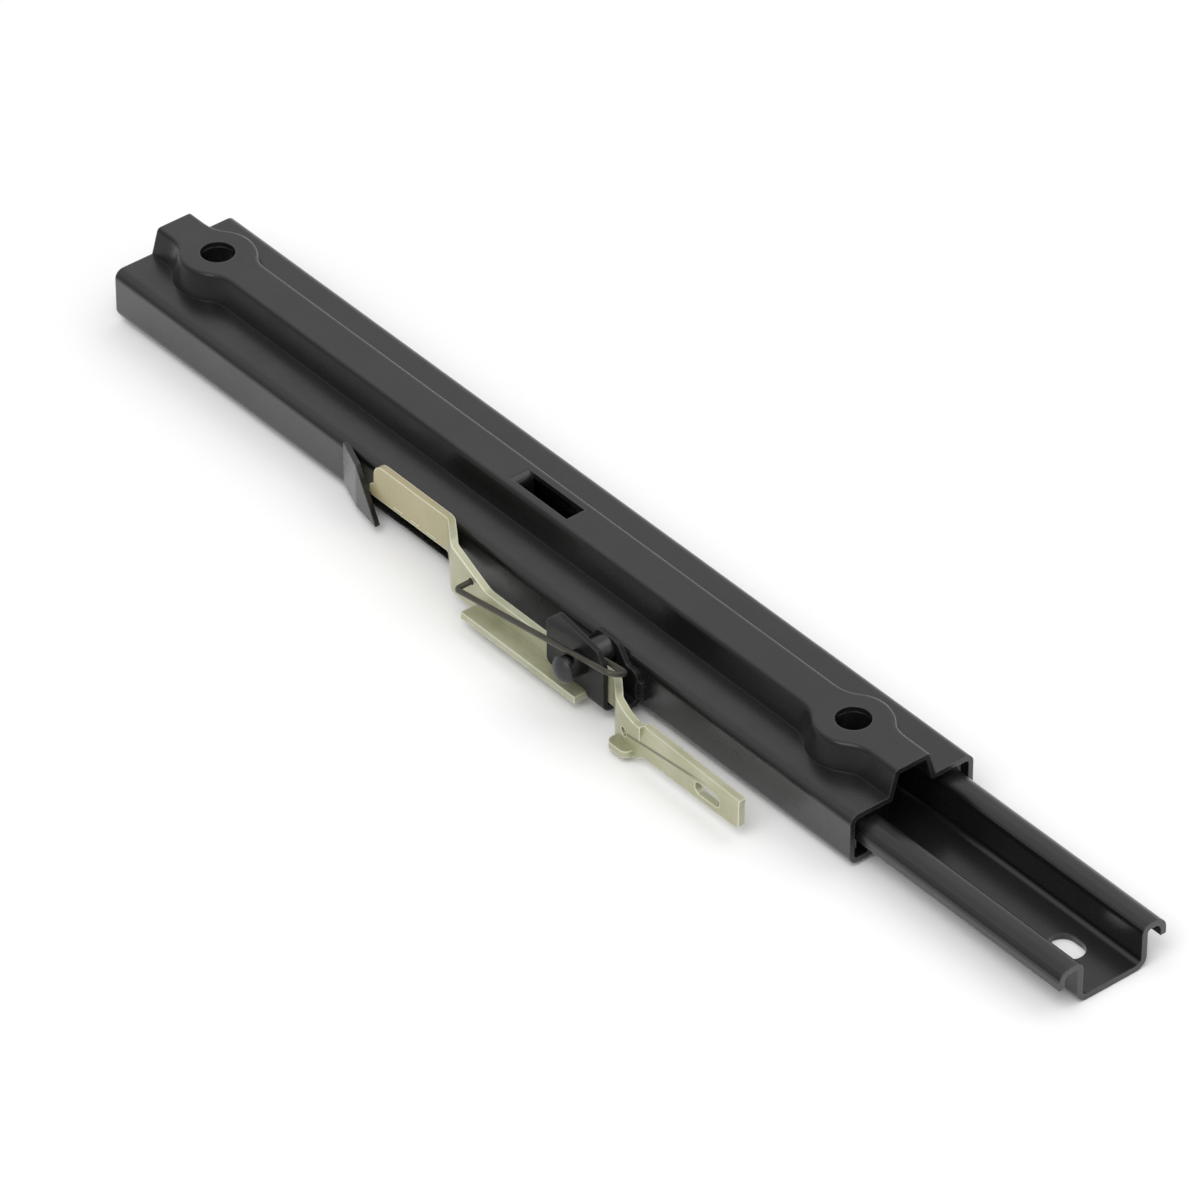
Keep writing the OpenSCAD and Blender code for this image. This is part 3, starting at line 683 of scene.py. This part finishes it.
class RAIL_OT_make_welds(bpy.types.Operator):
    """Weld the bracket to the upper rail's wall"""
    bl_idname = "seat_rail.make_welds"
    bl_label = "Weld bracket"

    def execute(self, context):
        settings = context.scene.rail_welds
        coat = context.scene.rail_paint
        low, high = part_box("pivot_bracket")
        material = paint("Weld paint", coat.bracket, coat.edge, coat.bracket_roughness, coat.bracket_gloss,
                         settings.edge_round)
        for name, x, side in (("weld_rear", low.x, -1.0), ("weld_front", high.x, 1.0)):
            piece = grid_object(name, weld_bead(x, low.z, side, settings), material)
            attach(piece, "upper_rail")
        return {"FINISHED"}


class RAIL_OT_finish_rollers(bpy.types.Operator):
    """Finish the ball cages and balls"""
    bl_idname = "seat_rail.finish_rollers"
    bl_label = "Finish rollers"

    def execute(self, context):
        settings = context.scene.rail_rollers
        corners = ("front_right", "front_left", "rear_right", "rear_left")
        dress(moulding("Cage plastic", settings.cage), *("ball_cage_" + corner for corner in corners))
        dress(steel("Ball steel", settings.ball, 0.14), *("balls_" + corner for corner in corners))
        return {"FINISHED"}


class RAIL_OT_set_stage(bpy.types.Operator):
    """Set the floor, the lights and the camera"""
    bl_idname = "seat_rail.set_stage"
    bl_label = "Set stage"

    def execute(self, context):
        scene = context.scene
        settings = scene.rail_stage
        self.lay_floor(settings)
        self.light(scene, settings)
        data = bpy.data.cameras.new("Camera")
        data.lens = settings.lens
        data.sensor_width = SENSOR_WIDTH
        scene.camera = self.aimed(scene, "Camera", data, settings.eye, settings.aim)
        scene.view_settings.view_transform = "Standard"
        return {"FINISHED"}

    def aimed(self, scene, name, data, place, aim):
        """Camera or lamp at a place, looking at a point."""
        piece = bpy.data.objects.new(name, data)
        piece.location = place
        piece.rotation_euler = (Vector(aim) - Vector(place)).to_track_quat("-Z", "Y").to_euler()
        scene.collection.objects.link(piece)
        return piece

    def lay_floor(self, settings):
        """Level square a little under the lower rail."""
        material, tree = new_material("Studio floor")
        feed(tree, {"Base Color": (*settings.floor, 1.0), "Roughness": 0.9, "Specular IOR Level": 0.1})
        side = np.linspace(-FLOOR_HALF, FLOOR_HALF, 9)
        x, y = np.meshgrid(side, side)
        points = np.stack([x, y, np.full_like(x, -FLOOR_DROP)], axis=-1)
        floor = grid_object("studio_floor", points, material, close_columns=False)

    def light(self, scene, settings):
        """Even light from all round, a soft box on the latch's side and a weaker one behind the rail."""
        world = bpy.data.worlds.new("Studio")
        scene.world = world
        world.use_nodes = True
        background = world.node_tree.nodes["Background"]
        background.inputs["Color"].default_value = (1.0, 1.0, 1.0, 1.0)
        background.inputs["Strength"].default_value = settings.fill
        for name, place, watts in (
                ("Key box", settings.key_place, settings.key),
                ("Back box", settings.back_place, settings.back)):
            data = bpy.data.lights.new(name, "AREA")
            data.shape = "SQUARE"
            data.size = settings.box_size
            data.energy = watts
            self.aimed(scene, name, data, place, (0.0, 0.0, 0.0))


class RAIL_PT_panel(bpy.types.Panel):
    """Sizes and finishes of the seat rail"""
    bl_idname = "RAIL_PT_panel"
    bl_label = "Seat slide rail"
    bl_space_type = "VIEW_3D"
    bl_region_type = "UI"
    bl_category = "Seat rail"

    def draw(self, context):
        for operator, group in STEPS:
            box = self.layout.box()
            box.operator(operator.bl_idname)
            settings = getattr(context.scene, group)
            for name in settings.bl_rna.properties.keys():
                if name not in ("rna_type", "name"):
                    box.prop(settings, name)


SETTINGS = {
    "rail_paint": RailPaintSettings,
    "rail_collars": CollarSettings,
    "rail_latch": LatchSettings,
    "rail_spring": SpringSettings,
    "rail_welds": WeldSettings,
    "rail_rollers": RollerSettings,
    "rail_stage": StageSettings,
}
STEPS = (
    (RAIL_OT_paint_rails, "rail_paint"),
    (RAIL_OT_draw_collars, "rail_collars"),
    (RAIL_OT_plate_latch, "rail_latch"),
    (RAIL_OT_make_spring, "rail_spring"),
    (RAIL_OT_make_welds, "rail_welds"),
    (RAIL_OT_finish_rollers, "rail_rollers"),
    (RAIL_OT_set_stage, "rail_stage"),
)


def register():
    """Classes made known to Blender, with one group of settings for each step on the scene."""
    for name, group in SETTINGS.items():
        bpy.utils.register_class(group)
        setattr(bpy.types.Scene, name, PointerProperty(type=group))
    for operator, _ in STEPS:
        bpy.utils.register_class(operator)
    bpy.utils.register_class(RAIL_PT_panel)


def unregister():
    """Classes and settings taken out again."""
    bpy.utils.unregister_class(RAIL_PT_panel)
    for operator, _ in reversed(STEPS):
        bpy.utils.unregister_class(operator)
    for name, group in SETTINGS.items():
        delattr(bpy.types.Scene, name)
        bpy.utils.unregister_class(group)


def main():
    """Every step in order."""
    register()
    bpy.ops.seat_rail.paint_rails()
    bpy.ops.seat_rail.draw_collars()
    bpy.ops.seat_rail.plate_latch()
    bpy.ops.seat_rail.make_spring()
    bpy.ops.seat_rail.make_welds()
    bpy.ops.seat_rail.finish_rollers()
    bpy.ops.seat_rail.set_stage()


if __name__ == "__main__":
    main()
